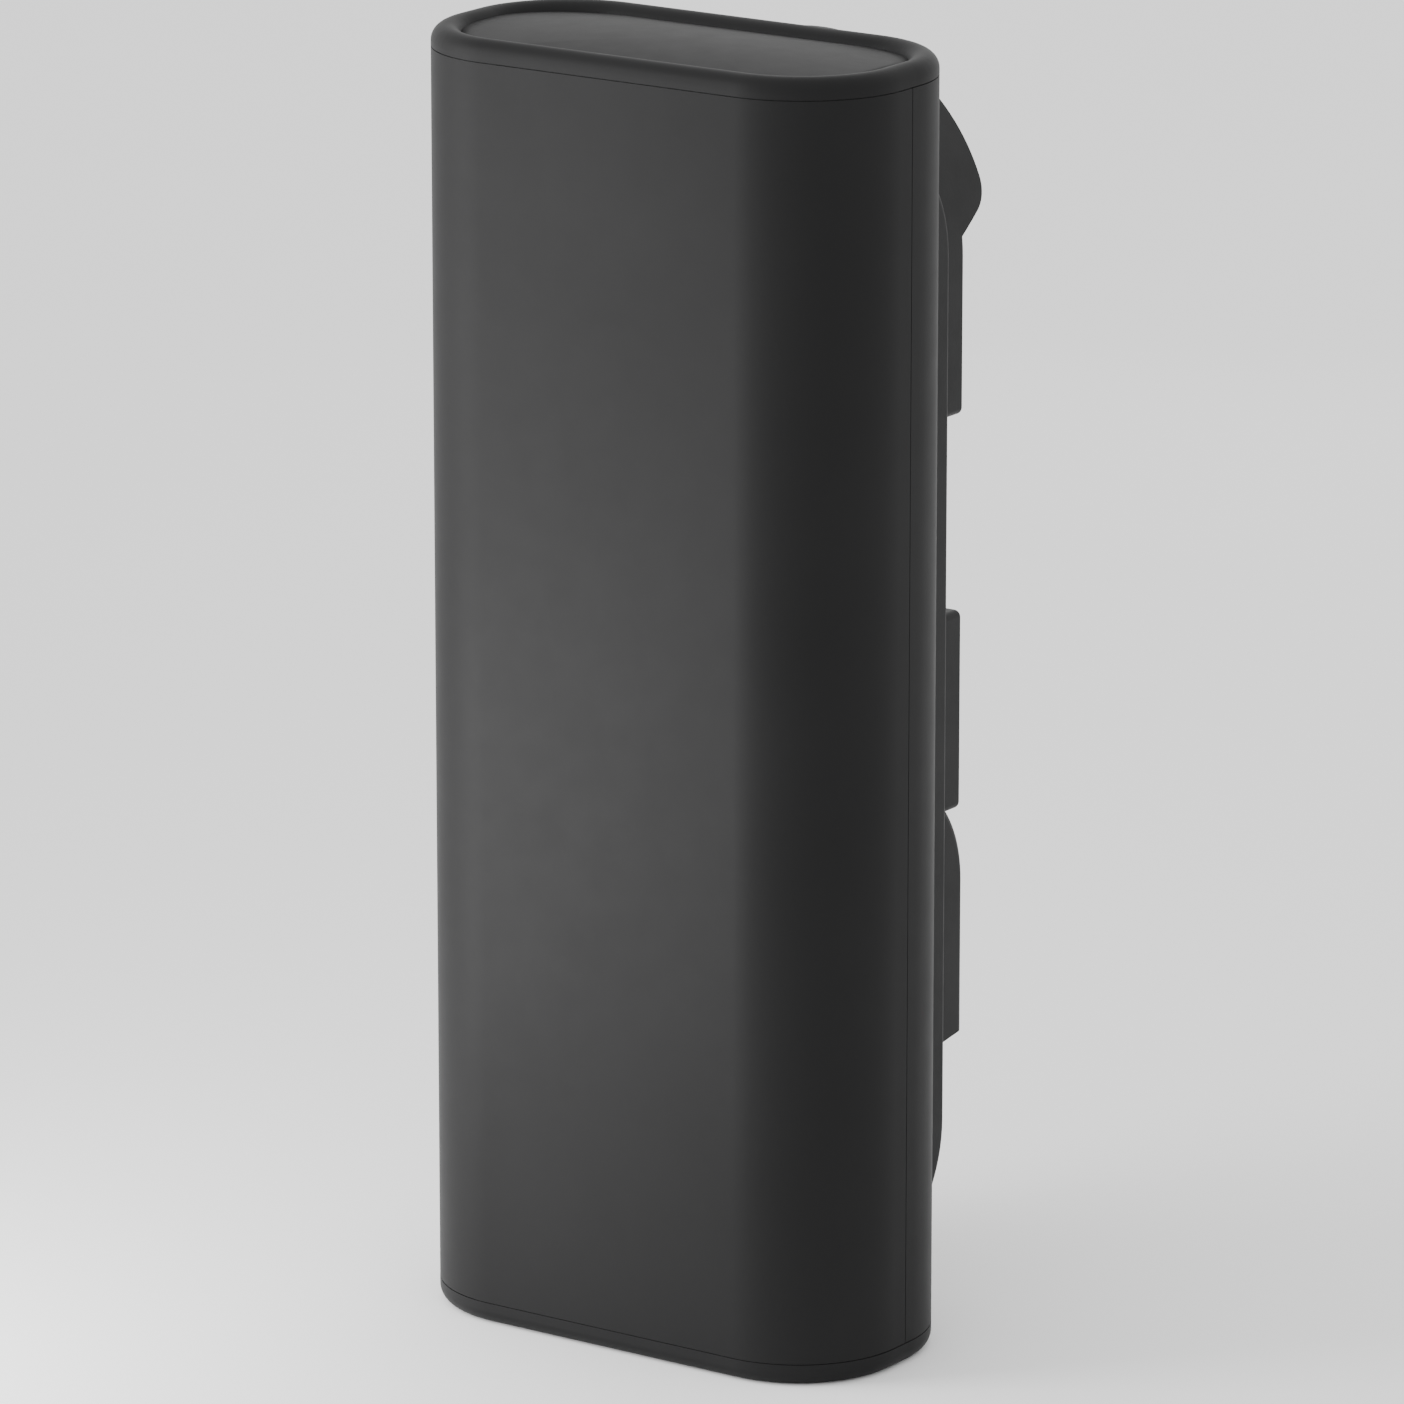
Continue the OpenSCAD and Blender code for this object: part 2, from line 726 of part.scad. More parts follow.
// The hood's side outline: cut back below, with a rounded tip at the rim
module hood_side2d() {
    cut_angle = 32;
    tip_r = 20;
    root_z = arch_z + 4;
    tip_y = tip_r - hood_out;
    meet_y = tip_y - tip_r * sin(cut_angle);
    tip_z = root_z + (-panel_out - tip_y) * tan(cut_angle) + tip_r / cos(cut_angle);
    back_y = -50;
    translate([tip_y, tip_z]) circle(tip_r);
    translate([-hood_out, tip_z]) square([hood_out + back_y, 100]);
    polygon([[meet_y, root_z + (-panel_out - meet_y) * tan(cut_angle)],
        [back_y, root_z + (-panel_out - back_y) * tan(cut_angle)],
        [back_y, tip_z + 1], [meet_y, tip_z + 1]]);
}
module hood_screws() {
    color(steel) for (p = hood_screw_at) inner_screw(p[0], p[1], -face_in, 13);
}

// ---------- aspects ----------

// Arch-topped bezel of the red aspect, shaped behind to sit on the panel and the door
module red_bezel() {
    back = half_d - 12;
    color(black) difference() {
        on_front(back) arch_frame(bezel_hw, arch_z, red_z0, corner_round)
            bezel_profile(bezel_out - back);
        plan_solid(-1, body_h + 1);
        slab(panel_hw, panel_out, panel_z0, panel_z1, panel_end_r, 4);
        translate([-hood_r, -half_d - flange_t - 0.1, 654]) cube([2 * hood_r, 30, 60]);
        for (p = bezel_screw_at) front_hole(p[0], p[1], -panel_out - 8, -panel_out + 1);
        for (p = hood_screw_at) front_hole(p[0], p[1], -half_d - 12, -half_d);
    }
}
module green_bezel() {
    color(black) difference() {
        on_front(panel_out) rect_frame(bezel_hw, green_z0, green_z1, corner_round)
            bezel_profile(bezel_out - panel_out);
        for (p = bezel_screw_at) front_hole(p[0], p[1], -panel_out - 8, -panel_out + 1);
    }
}
module bezel_screws() {
    color(steel) for (p = bezel_screw_at) inner_screw(p[0], p[1], -panel_out + 3, 10);
}

// Smoked window of an aspect, the seal behind it, its board and its tub
module window(t = window_t) {
    color("#3a3a3d") on_front(window_out - t) linear_extrude(t) children();
}
module red_window() { window() red2d(rebate + 0.3); }
module green_window() { window() green2d(rebate + 0.3); }
module window_gasket() {
    color(dark) on_front(tub_out) linear_extrude(gasket_t) children();
}
module red_gasket() {
    window_gasket() difference() {
        red2d(rebate + 0.5);
        red2d(tub_inset + tub_wall);
    }
}
module green_gasket() {
    window_gasket() difference() {
        green2d(rebate + 0.5);
        green2d(tub_inset + tub_wall);
    }
}

// A tub's shell, posts for the board and screw ears; children are its outline and its hollow
module tub(post_at, screw_at) {
    color("#3c3d40") difference() {
        union() {
            on_front(tub_back) linear_extrude(tub_out - tub_back) children(0);
            for (p = screw_at) translate([p[0] - 8, -face_in, p[1] - 9]) cube([16, 3, 18]);
        }
        on_front(tub_back + tub_wall) linear_extrude(tub_out) children(1);
        for (p = screw_at) front_hole(p[0], p[1], -face_in - 1, -face_in + 4, 2.2);
    }
    color("#3c3d40") for (p = post_at)
        on_front(tub_back + tub_wall - 0.5) translate([p[0], p[1], 0])
            cylinder(h = board_out - board_t - tub_back - tub_wall + 0.5, r = 4, $fn = 32);
}
module red_tub() {
    tub([[-60, 545], [60, 545], [-45, 652], [45, 652]], red_tub_screw_at) {
        red2d(tub_inset);
        red2d(tub_inset + tub_wall);
    }
}
module green_tub() {
    tub([[-82, 306], [82, 306], [-82, 375], [82, 375]], green_tub_screw_at) {
        green2d(tub_inset);
        green2d(tub_inset + tub_wall);
    }
}
module tub_screws() {
    color(steel) for (p = tub_screw_at) inner_screw(p[0], p[1], -face_in + 3, 5.8);
}

// A lamp board with its driver parts behind
module lamp_board(x, z) {
    color(dark) on_front(board_out - board_t) linear_extrude(board_t) children();
    color("#3d4148") translate([x - 20, 14 - board_out, z - 12]) cube([40, 8, 24]);
    color("#3d4148") translate([x - 20, board_t - board_out, z - 14]) cube([40, 12.4, 28]);
}
module red_board() { lamp_board(0, 600) red2d(tub_inset + tub_wall + 0.3); }
module green_board() { lamp_board(0, 340) green2d(tub_inset + tub_wall + 0.3); }

// One light-emitting diode, standing on its board
module led(r) {
    rotate_extrude($fn = 24) polygon([[0, 0], [r, 0], [r, 2.2 * r], [0.5 * r, 2.9 * r], [0, 3 * r]]);
}

// Distance of a point from a straight limb between two points
function limb(p, a, b) =
    let (d = b - a, t = max(0, min(1, ((p - a) * d) / max(d * d, 0.001))))
    norm(p - a - t * d);
// A figure is a list of limbs: [start, end, half thickness], for a figure 2 units tall
standing = [[[0, 0.805], [0, 0.805], 0.16], [[-0.3, 0.5], [0.3, 0.5], 0.06],
    [[-0.08, 0.46], [-0.08, -0.02], 0.09], [[0.08, 0.46], [0.08, -0.02], 0.09],
    [[-0.345, 0.46], [-0.345, -0.12], 0.05], [[0.345, 0.46], [0.345, -0.12], 0.05],
    [[-0.115, 0], [-0.115, -0.93], 0.05], [[0.115, 0], [0.115, -0.93], 0.05]];
walking = [[[0.05, 0.76], [0.05, 0.76], 0.17], [[0, 0.46], [0.02, 0], 0.14],
    [[0.1, 0.44], [0.32, 0.2], 0.07], [[0.32, 0.2], [0.46, 0.04], 0.06],
    [[-0.1, 0.44], [-0.3, 0.22], 0.07], [[-0.3, 0.22], [-0.4, -0.02], 0.06],
    [[0, -0.05], [-0.16, -0.46], 0.09], [[-0.16, -0.46], [-0.44, -0.86], 0.08],
    [[0.06, -0.05], [0.26, -0.46], 0.09], [[0.26, -0.46], [0.38, -0.92], 0.08]];
function in_figure(p, figure) =
    len([for (m = figure) if (limb(p, m[0], m[1]) < m[2]) 1]) > 0;

// Lights a square grid of diodes wherever the figure covers it
module figure_leds(figure, x, z, size, pitch, r) {
    n = ceil(size / pitch / 2);
    on_front(board_out) for (i = [-n : n], j = [-n : n])
        if (in_figure([i, j] * pitch * 2 / size, figure))
            translate([x + i * pitch, z + j * pitch, 0]) led(r);
}
module red_leds() { color("#d8281c") figure_leds(standing, 0, 602, 146, 5.6, 2.2); }
module green_leds() { color("#19b46a") figure_leds(walking, -52, 340.4, 82, 4.1, 1.6); }

// Two seven-segment digits of the countdown, each segment a row of diodes
module countdown_leds() {
    seg = 13;
    steps = 4;
    color("#e8b21e") on_front(board_out)
        for (x = [22, 66], i = [0 : 6]) translate([x, 340.4, 0]) segment(i, seg, steps);
}
module segment(i, seg, steps) {
    upright = i > 2;
    side = i % 2 == 0 ? 1 : -1;
    level = i < 3 ? (i - 1) * 2 * seg : (i < 5 ? seg : -seg);
    for (k = [0 : steps - 1]) {
        along = (k - (steps - 1) / 2) * 2 * (seg - 3) / (steps - 1) * 0.95;
        x = upright ? side * (seg + 0.5) : along;
        y = upright ? level + along : level;
        translate([x, y, 0]) led(1.7);
    }
}

// Dark window for the ambient light sensor that dims the signal
module sensor_window() {
    color("#26262a") on_front(panel_out - 5) translate([0, sensor_z, 0]) {
        cylinder(h = 5.4, r = sensor_r);
        cylinder(h = 1.9, r = sensor_r + 3);
    }
}
module light_sensor() {
    color(board_green) on_front(panel_out - 9) translate([0, sensor_z, 0])
        cylinder(h = 1.6, r = 11);
    color("#cfd2d6") on_front(panel_out - 7.4) translate([0, sensor_z, 0])
        cylinder(h = 2, r = 3, $fn = 32);
}

// ---------- push-button unit ----------

// The unit's body: curved top, straight face and slanted underside, moved in by an inset
module unit_form(inset) {
    r = unit_r - inset;
    out = unit_out - inset;
    hw = unit_hw - inset;
    edge = max(5 - inset, 2);
    difference() {
        union() {
            translate([0, r - out, unit_z1]) rotate([0, 90, 0])
                rotate_extrude($fn = 180) slab_section(hw, r, edge);
            translate([0, r - out, unit_z0 - 10]) linear_extrude(unit_z1 - unit_z0 + 10)
                rotate(-90) slab_section(hw, r, edge);
        }
        translate([-150, -unit_out - 10, -30]) translate([0, 0, unit_z0 + inset + 1.5])
            rotate([-unit_slant, 0, 0]) translate([0, 0, -30]) cube([300, 80, 60]);
    }
}
module button_housing() {
    front = unit_out - 5;
    color(black) difference() {
        union() {
            difference() {
                unit_form(0);
                unit_form(3);
            }
            intersection() {
                unit_form(0);
                union() {
                    for (p = unit_screw_at) front_hole(p[0], p[1], -unit_out, -panel_out, 5);
                    for (p = carrier_screw_at) front_hole(p[0], p[1], -unit_out, -carrier_out, 4);
                }
            }
        }
        translate([-150, -panel_out, 0]) cube([300, 200, body_h]);
        translate([-150, -150, green_z0 - 0.2]) cube([300, 100, 100]);
        on_front(front) linear_extrude(10) {
            translate([0, button_z]) circle(ring_r + 0.1);
            for (i = [-2 : 2]) translate([speaker_x + 7 * i, button_z])
                rect2d(1.5, -17 + 2 * abs(i), 17 - 2 * abs(i), 1.49);
            translate([-speaker_x, button_z]) {
                circle(1.4, $fn = 24);
                for (a = [0 : 60 : 300]) rotate(a) translate([5, 0]) circle(1.4, $fn = 24);
            }
        }
        for (p = unit_screw_at) front_hole(p[0], p[1], -panel_out - 8, -panel_out + 1);
        for (p = carrier_screw_at) front_hole(p[0], p[1], -carrier_out - 9, -carrier_out + 1);
    }
}
module button_housing_screws() {
    color(steel) {
        for (p = unit_screw_at) inner_screw(p[0], p[1], -panel_out + 3, 10);
        for (p = carrier_screw_at) inner_screw(p[0], p[1], -carrier_out + 3, 11);
    }
}

// Raised collar round the button
module button_guard() {
    inner = button_r + 0.4;
    outer = ring_r - 4;
    color("#46484c") on_front(carrier_out) translate([0, button_z, 0]) rotate_extrude() {
        translate([inner, 0]) square([outer - inner, 18]);
        translate([(inner + outer) / 2, 18]) circle((outer - inner) / 2);
    }
}

// Translucent ring that lights when a crossing has been requested
module wait_ring() {
    inner = ring_r - 3.95;
    color("#b9302a") on_front(unit_out - 5.6) translate([0, button_z, 0]) rotate_extrude() {
        translate([inner, 0]) square([ring_r - inner, 5.2]);
        translate([(inner + ring_r) / 2, 4.6]) circle((ring_r - inner) / 2 - 0.01);
        translate([inner, 0]) square([ring_r + 3 - inner, 2.4]);
    }
}
module wait_board() {
    color(board_green) on_front(carrier_out + 2) translate([0, button_z, 0]) difference() {
        cylinder(h = 1.6, r = ring_r + 2.5);
        translate([0, 0, -1]) cylinder(h = 4, r = ring_r - 3.8);
    }
    color("#d8281c") on_front(carrier_out + 3.6) translate([0, button_z, 0])
        for (a = [0 : 30 : 330]) rotate([0, 0, a]) translate([ring_r - 1.5, 0, 0])
            cylinder(h = 2, r = 1.5, $fn = 24);
}

// Plate behind the unit's face: guides the button's stem and holds the switch
module button_carrier() {
    color("#54565a") on_front(carrier_out - 3) difference() {
        union() {
            linear_extrude(3) rect2d(43, button_z - 31, button_z + 31, 4);
            translate([0, button_z, -6]) cylinder(h = 11.2, r = 11);
            for (s = [-1, 1]) translate([s * 18, button_z, switch_out - carrier_out + 3])
                cylinder(h = carrier_out - switch_out, r = 3, $fn = 32);
        }
        translate([0, button_z, -10]) cylinder(h = 20, r = stem_r + 0.05);
        for (p = carrier_screw_at) translate([p[0], p[1], -1]) cylinder(h = 5, r = 2.2, $fn = 32);
    }
}

// Snap-action switch that the stem's tip presses
module button_switch() {
    color("#2b3550") on_front(switch_out - 16) difference() {
        translate([-23, button_z - 8, 0]) cube([46, 16, 15.9]);
        translate([0, button_z, 8]) cylinder(h = 10, r = tip_r + 0.05, $fn = 48);
    }
    color("#b8963e") on_front(switch_out - 22) for (x = [-16, 0, 16])
        translate([x - 2.4, button_z - 0.4, 0]) cube([4.8, 0.8, 6.1]);
}

// Round push button with its stem and switch tip
module push_button() {
    dome = crown_out - cap_out;
    color("#c9ccd0") on_front(0) translate([0, button_z, 0]) {
        rotate_extrude() {
            translate([0, cap_in]) square([button_r, cap_out - cap_in - 2]);
            translate([0, cap_in]) square([button_r - 2, cap_out - cap_in]);
            translate([button_r - 2, cap_out - 2]) circle(2);
            intersection() {
                translate([0, crown_out - crown_r]) circle(crown_r, $fn = 360);
                translate([0, cap_out - 1]) square([button_r - 2, dome + 3]);
            }
            translate([0, switch_out + 3.6]) square([stem_r, cap_in - switch_out - 3]);
            translate([0, switch_out - 2.4]) square([tip_r, 6.5]);
        }
    }
}

// Raised arrow on the button that points along the crossing
module tactile_arrow() {
    color("#2a2b2e") on_front(0) translate([0, button_z, 0]) difference() {
        translate([0, 0, cap_out]) linear_extrude(crown_out - cap_out + 1.7)
            polygon([[-3.2, -14], [3.2, -14], [3.2, 3], [9.5, 3], [0, 15], [-9.5, 3], [-3.2, 3]]);
        translate([0, 0, crown_out - crown_r]) sphere(crown_r + 0.03, $fn = 360);
    }
}

// Return spring round the carrier's boss
module button_spring() {
    wire_r = 0.3;
    foot = carrier_out + 0.3 + wire_r;
    head = cap_in - 0.3 - wire_r;
    color(steel) on_front(foot) translate([0, button_z, 0]) coil(14, wire_r, head - foot, 2.5);
}

// A round wire wound into a coil, as eight-sided rings joined by triangles
module coil(r, wire_r, len, turns) {
    sides = 8;
    rings = 28 * turns;
    points = [for (i = [0 : rings], j = [0 : sides - 1])
        let (a = 360 * turns * i / rings, b = 360 * j / sides, d = r + wire_r * cos(b))
        [d * cos(a), d * sin(a), len * i / rings + wire_r * sin(b)]];
    walls = [for (i = [0 : rings - 1], j = [0 : sides - 1], half = [0, 1])
        let (a = i * sides + j, b = i * sides + (j + 1) % sides)
        half == 0 ? [a, b, b + sides] : [a, b + sides, a + sides]];
    start = [[for (j = [sides - 1 : -1 : 0]) j]];
    end = [[for (j = [0 : sides - 1]) rings * sides + j]];
    polyhedron(points, concat(start, walls, end));
}

// Loudspeaker behind the slots of the unit's face
module speaker() {
    color(dark) on_front(panel_out - 1) translate([speaker_x, button_z, 0]) rotate_extrude()
        polygon([[0, 0], [12, 0], [12, 9], [speaker_r - 3, 17], [speaker_r, 17],
            [speaker_r, 22.6], [speaker_r - 2, 22.6], [speaker_r - 3, 19], [8, 14], [0, 14]]);
}

// Microphone that matches the sound to the street's noise
module microphone() {
    color(dark) on_front(unit_out - 13) translate([-speaker_x, button_z, 0]) difference() {
        cylinder(h = 9.8, r = 9);
        translate([0, 0, 7]) cylinder(h = 5, r = 7);
    }
}

// ---------- locks ----------

// Threaded lock bodies with their flanges and nuts, on washers shaped to the door's curve
module lock_bodies() {
    nut_in = face_in - 11.2;
    rear = nut_in - 3;
    nut_t = 6;
    plug_seat = face_in - 3.5;
    color(zinc) for (z = lock_heights) {
        on_front(rear) translate([lock_x, z, 0]) difference() {
            union() {
                cylinder(h = panel_out + 0.5 - rear, r = lock_r);
                translate([0, 0, panel_out - rear]) cylinder(h = 2, r = 12.5);
            }
            translate([0, 0, plug_seat - rear]) cylinder(h = 60, r = plug_r + 0.05);
            translate([0, 0, -1]) cylinder(h = 60, r = spindle_fit);
        }
        on_front(nut_in) translate([lock_x, z, 0]) difference() {
            cylinder(h = nut_t, r = 13.5, $fn = 6);
            translate([0, 0, -1]) cylinder(h = nut_t + 2, r = lock_r + 0.05);
        }
        intersection() {
            on_front(nut_in + nut_t + 0.05) translate([lock_x, z, 0]) difference() {
                cylinder(h = 8, r = 13);
                translate([0, 0, -1]) cylinder(h = 10, r = lock_r + 0.05);
            }
            plan_solid(z - 20, z + 20, wall + 0.15);
        }
    }
}

// Turning part of a lock: plug with a triangular key recess, spindle, cam and nut
module lock_turn(z) {
    plug_in = face_in - 0.3;
    color(steel) translate([lock_x, 0, z]) {
        difference() {
            union() {
                on_front(plug_in) cylinder(h = panel_out + 1.5 - plug_in, r = plug_r);
                translate([0, -plug_in - 0.1, 0]) rotate([-90, 0, 0])
                    cylinder(h = plug_in + cam_y + cam_t + 4, r = spindle_r);
                translate([-7, cam_y, 0]) cube([14, cam_t, cam_len]);
                translate([0, cam_y, 0]) rotate([-90, 0, 0]) cylinder(h = cam_t, r = 9);
                translate([0, cam_y + cam_t, 0]) rotate([-90, 0, 0])
                    cylinder(h = 3.2, r = 7, $fn = 6);
            }
            on_front(panel_out - 5) cylinder(h = 10, r = 5, $fn = 3);
        }
    }
}
module upper_lock() { lock_turn(lock_heights[0]); }
module lower_lock() { lock_turn(lock_heights[1]); }

rear_shell();
top_cap();
cap_insert();
bottom_cap();
cap_seals();
cap_screws();
cable_grommet();
cable_clamp();
chassis_plate();
chassis_screws();
power_supply();
controller_board();
din_rail();
terminal_block();
earth_stud();
lock_keepers();
hinge_leaves_body();
hinge_pins();
hinge_screws_body();
front_shell();
door_gasket();
front_panel();
panel_screws();
hinge_leaves_door();
hinge_screws_door();
hood();
hood_screws();
red_bezel();
green_bezel();
bezel_screws();
red_window();
red_gasket();
red_board();
red_leds();
red_tub();
green_window();
green_gasket();
green_board();
green_leds();
countdown_leds();
green_tub();
tub_screws();
sensor_window();
light_sensor();
button_housing();
button_housing_screws();
button_guard();
wait_ring();
wait_board();
button_carrier();
button_switch();
speaker();
microphone();
lock_bodies();
push_button();
tactile_arrow();
button_spring();
upper_lock();
lower_lock();
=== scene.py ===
"""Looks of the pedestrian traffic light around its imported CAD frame.

Every CAD node gets a procedural material and keeps its shape. A few are drawn by finer pieces built
here: the domed cover in the top cap, the light-emitting diodes behind the windows, the button's
spring and the controller board with its components.
"""

import json
import math

import bmesh
import bpy
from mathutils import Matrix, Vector


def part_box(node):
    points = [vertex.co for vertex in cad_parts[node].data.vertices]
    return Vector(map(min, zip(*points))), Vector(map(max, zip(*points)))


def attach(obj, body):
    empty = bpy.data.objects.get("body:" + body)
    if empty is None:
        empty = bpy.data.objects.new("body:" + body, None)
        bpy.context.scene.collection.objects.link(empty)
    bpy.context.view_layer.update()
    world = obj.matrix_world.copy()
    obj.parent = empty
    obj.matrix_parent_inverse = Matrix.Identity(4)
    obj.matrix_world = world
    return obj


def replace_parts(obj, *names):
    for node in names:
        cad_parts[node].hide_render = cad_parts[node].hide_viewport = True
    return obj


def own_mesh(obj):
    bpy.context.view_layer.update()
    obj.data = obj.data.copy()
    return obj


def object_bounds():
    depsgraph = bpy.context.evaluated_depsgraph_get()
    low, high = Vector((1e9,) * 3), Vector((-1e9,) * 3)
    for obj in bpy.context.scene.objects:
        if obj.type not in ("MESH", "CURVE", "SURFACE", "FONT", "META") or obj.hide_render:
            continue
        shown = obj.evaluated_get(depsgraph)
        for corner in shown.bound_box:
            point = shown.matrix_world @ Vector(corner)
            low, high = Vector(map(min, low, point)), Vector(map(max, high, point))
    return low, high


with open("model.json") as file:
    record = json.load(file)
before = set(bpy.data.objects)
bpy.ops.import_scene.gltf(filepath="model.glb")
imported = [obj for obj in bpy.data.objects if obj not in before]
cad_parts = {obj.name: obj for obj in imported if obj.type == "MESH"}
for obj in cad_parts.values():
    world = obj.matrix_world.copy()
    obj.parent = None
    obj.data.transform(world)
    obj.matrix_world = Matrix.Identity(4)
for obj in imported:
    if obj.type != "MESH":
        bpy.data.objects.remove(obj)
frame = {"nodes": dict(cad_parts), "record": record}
cad_low, cad_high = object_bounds()

MM = 0.001

# ---------------------------------------------------------------- node helpers


class Shader:
    """A new material and short calls for wiring its nodes."""

    def __init__(self, name):
        self.material = bpy.data.materials.new(name)
        self.material.use_nodes = True
        self.nodes = self.material.node_tree.nodes
        self.links = self.material.node_tree.links
        self.bsdf = self.nodes["Principled BSDF"]
        self.place = self.nodes.new("ShaderNodeTexCoord").outputs["Object"]

    def set(self, **values):
        for socket, value in values.items():
            self.bsdf.inputs[socket.replace("_", " ")].default_value = value
        return self

    def stretched(self, scale):
        """Object coordinates in metres, multiplied by a scale per axis."""
        mapping = self.nodes.new("ShaderNodeMapping")
        mapping.inputs["Scale"].default_value = scale
        self.links.new(self.place, mapping.inputs["Vector"])
        return mapping.outputs["Vector"]

    def noise(self, scale, detail=3.0, roughness=0.5, vector=None):
        node = self.nodes.new("ShaderNodeTexNoise")
        node.inputs["Scale"].default_value = scale
        node.inputs["Detail"].default_value = detail
        node.inputs["Roughness"].default_value = roughness
        self.links.new(vector or self.place, node.inputs["Vector"])
        return node.outputs["Fac"]

    def spread(self, value, low, high):
        """Stretches the useful middle of a noise to a range."""
        node = self.nodes.new("ShaderNodeMapRange")
        node.inputs["From Min"].default_value = 0.3
        node.inputs["From Max"].default_value = 0.7
        node.inputs["To Min"].default_value = low
        node.inputs["To Max"].default_value = high
        self.links.new(value, node.inputs["Value"])
        return node.outputs["Result"]

    def mix(self, factor, first, second):
        node = self.nodes.new("ShaderNodeMix")
        node.data_type = "RGBA"
        self.links.new(factor, node.inputs["Factor"])
        for socket, value in ((node.inputs["A"], first), (node.inputs["B"], second)):
            if isinstance(value, tuple):
                socket.default_value = (*value, 1)
            else:
                self.links.new(value, socket)
        return node.outputs["Result"]

    def colour(self, value):
        self.links.new(value, self.bsdf.inputs["Base Color"])
        return self

    def roughness(self, value):
        self.links.new(value, self.bsdf.inputs["Roughness"])
        return self

    def bump(self, value, distance):
        """Adds a bump layer on top of those already there."""
        node = self.nodes.new("ShaderNodeBump")
        node.inputs["Strength"].default_value = 1.0
        node.inputs["Distance"].default_value = distance
        self.links.new(value, node.inputs["Height"])
        before = self.bsdf.inputs["Normal"].links
        if before:
            self.links.new(before[0].from_socket, node.inputs["Normal"])
        self.links.new(node.outputs["Normal"], self.bsdf.inputs["Normal"])
        return self

    def scaled(self, value, factor):
        node = self.nodes.new("ShaderNodeMath")
        node.operation = "MULTIPLY"
        self.links.new(value, node.inputs[0])
        node.inputs[1].default_value = factor
        return node.outputs[0]


# ---------------------------------------------------------------- materials


def coated(name, dark, light, rough=(0.42, 0.5), peel=0.03 * MM, specular=0.35):
    """Fine matte coating or moulded skin: faint cloudiness, orange peel and a finer grain."""
    s = Shader(name).set(Specular_IOR_Level=specular)
    s.colour(s.mix(s.spread(s.noise(9, 4), 0, 1), dark, light))
    s.roughness(s.spread(s.noise(60, 5, 0.6), *rough))
    s.bump(s.noise(700, 2), peel)
    s.bump(s.noise(3200, 2), 0.012 * MM)
    return s.material


def rubber():
    """Dull black rubber of the seals and gaskets."""
    s = Shader("seal_rubber").set(Specular_IOR_Level=0.3)
    s.colour(s.mix(s.noise(120, 4), (0.012, 0.012, 0.012), (0.03, 0.03, 0.029)))
    s.roughness(s.spread(s.noise(400), 0.65, 0.85))
    s.bump(s.noise(2500), 0.03 * MM)
    return s.material


def brushed(name, dark, light, rough, stretch=(1, 1, 40)):
    """Bare metal with fine drawn lines along one axis and faint blotches."""
    s = Shader(name).set(Metallic=1.0)
    lines = s.noise(160, 4, 0.6, s.stretched(tuple(40 / v for v in stretch)))
    s.colour(s.mix(s.spread(lines, 0, 1), dark, light))
    s.roughness(s.spread(s.noise(90, 4), *rough))
    s.bump(lines, 0.01 * MM)
    return s.material


def zinc():
    """Zinc plate: a faint spangle over a soft sheen."""
    s = Shader("zinc_plate").set(Metallic=1.0)
    cells = s.nodes.new("ShaderNodeTexVoronoi")
    cells.inputs["Scale"].default_value = 180
    s.links.new(s.place, cells.inputs["Vector"])
    grey = s.mix(s.noise(14, 4), (0.50, 0.52, 0.55), (0.66, 0.67, 0.68))
    s.colour(s.mix(s.scaled(cells.outputs["Color"], 0.25), grey, (0.42, 0.43, 0.46)))
    s.roughness(s.spread(s.noise(50, 4), 0.3, 0.48))
    s.bump(s.noise(900), 0.01 * MM)
    return s.material


def glossy(name, dark, light, transmission):
    """Shiny moulded plastic that lets some light through."""
    s = Shader(name).set(Transmission_Weight=transmission, IOR=1.5)
    s.colour(s.mix(s.noise(80, 3), dark, light))
    s.roughness(s.spread(s.noise(300), 0.12, 0.2))
    s.bump(s.noise(500, 2), 0.01 * MM)
    return s.material


def board(name, dark, light, trace):
    """Solder mask with fine tracks running under it."""
    s = Shader(name).set(Specular_IOR_Level=0.5)
    base = s.mix(s.noise(70, 3), dark, light)
    bricks = s.nodes.new("ShaderNodeTexBrick")
    bricks.inputs["Scale"].default_value = 150
    bricks.inputs["Mortar Size"].default_value = 0.03
    turn = s.nodes.new("ShaderNodeMapping")
    turn.inputs["Rotation"].default_value = (math.radians(90), 0, 0)
    s.links.new(s.place, turn.inputs["Vector"])
    s.links.new(turn.outputs["Vector"], bricks.inputs["Vector"])
    s.colour(s.mix(bricks.outputs["Fac"], base, trace))
    s.roughness(s.spread(s.noise(200), 0.3, 0.42))
    s.bump(bricks.outputs["Fac"], 0.04 * MM)
    return s.material


def smoked():
    """Smoked polycarbonate that the diodes show through."""
    s = Shader("window_smoked").set(Transmission_Weight=0.93, IOR=1.45, Specular_IOR_Level=0.3)
    s.colour(s.mix(s.noise(6, 2), (0.30, 0.30, 0.32), (0.36, 0.36, 0.37)))
    s.roughness(s.spread(s.noise(40, 3), 0.03, 0.06))
    s.bump(s.noise(8, 2), 0.1 * MM)
    return s.material


def lamp(name, colour, glow):
    """Tinted epoxy of a diode, faintly lit from inside."""
    s = Shader(name).set(Transmission_Weight=0.25, IOR=1.5, Emission_Strength=glow)
    pale = tuple(min(1.0, c * 1.25 + 0.06) for c in colour)
    s.colour(s.mix(s.noise(500, 2), colour, pale))
    s.roughness(s.spread(s.noise(900), 0.08, 0.16))
    s.bsdf.inputs["Emission Color"].default_value = (*colour, 1)
    return s.material


# ---------------------------------------------------------------- mesh helpers


